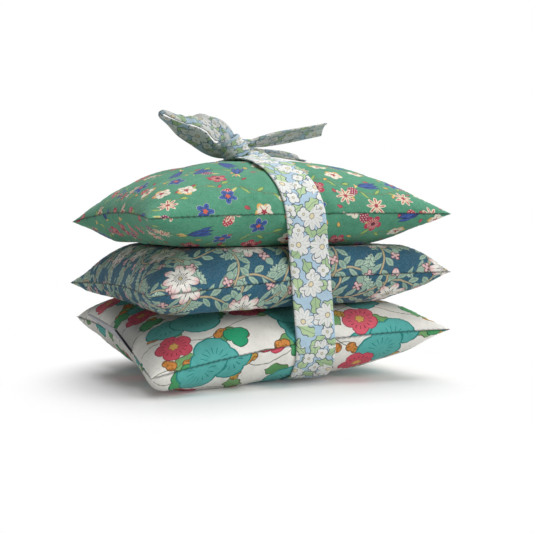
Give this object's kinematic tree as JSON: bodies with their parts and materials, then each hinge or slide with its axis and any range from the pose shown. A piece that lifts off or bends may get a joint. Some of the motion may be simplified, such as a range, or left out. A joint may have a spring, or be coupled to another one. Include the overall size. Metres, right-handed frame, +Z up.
{
  "type": "lavender sachet",
  "caption": "Stack of plump square lavender sachets of printed cotton lawn, bound by a cloth tie with a half bow, for scenting drawers and wardrobes.",
  "frame": {"origin": "under the middle of the whole bundle's box, on the surface it stands on", "axes": "+Z up through the stack, -Y towards the front side that the tie crosses, +X to the right with the tails, so the loop and the label point to -X"},
  "size_m": [0.1204, 0.115, 0.1022],
  "materials": {
    "green_print": "fine plain-weave cotton lawn with small scattered flowers on mid green",
    "teal_print": "fine plain-weave cotton lawn with leaves and pale blossoms on dark teal",
    "ecru_print": "fine plain-weave cotton lawn with large round flowers and leaves on ecru",
    "tie_print": "turned strip of cotton lawn with outlined white flowers on pale blue",
    "label_satin": "folded grey woven satin, bare",
    "sewing_thread": "spun polyester sewing thread",
    "dried_lavender": "loose dried flower heads"
  },
  "bodies": {
    "sachet_stack": {"bottom_lower_panel": "ecru_print", "bottom_upper_panel": "ecru_print", "bottom_filling": "dried_lavender", "bottom_seam_thread": "sewing_thread", "middle_lower_panel": "teal_print", "middle_upper_panel": "teal_print", "middle_filling": "dried_lavender", "middle_seam_thread": "sewing_thread", "top_lower_panel": "green_print", "top_upper_panel": "green_print", "top_filling": "dried_lavender", "top_seam_thread": "sewing_thread", "tie_band": "tie_print", "tie_knot": "tie_print"},
    "bow_loop": {"tie_loop": "tie_print"},
    "upper_tail": {"tie_upper_tail": "tie_print"},
    "lower_tail": {"tie_lower_tail": "tie_print"},
    "label": {"side_label": "label_satin"}
  },
  "joints": [
    {"name": "loop_lift", "type": "hinge", "parent": "sachet_stack", "child": "bow_loop", "pos_m": [-0.00717, 0, 0.09251], "axis": [0, 1, 0], "range_deg": [-15, 35]},
    {"name": "upper_tail_lift", "type": "hinge", "parent": "sachet_stack", "child": "upper_tail", "pos_m": [0.00415, 0, 0.09091], "axis": [0, -1, 0], "range_deg": [-6, 60]},
    {"name": "lower_tail_lift", "type": "hinge", "parent": "sachet_stack", "child": "lower_tail", "pos_m": [0.00415, 0, 0.08751], "axis": [0, -1, 0], "range_deg": [0, 10]},
    {"name": "label_flap", "type": "hinge", "parent": "sachet_stack", "child": "label", "pos_m": [-0.05247, -0.0185, 0.01188], "axis": [0.0444, 0.993, 0.1092], "range_deg": [-75, 24]}
  ]
}
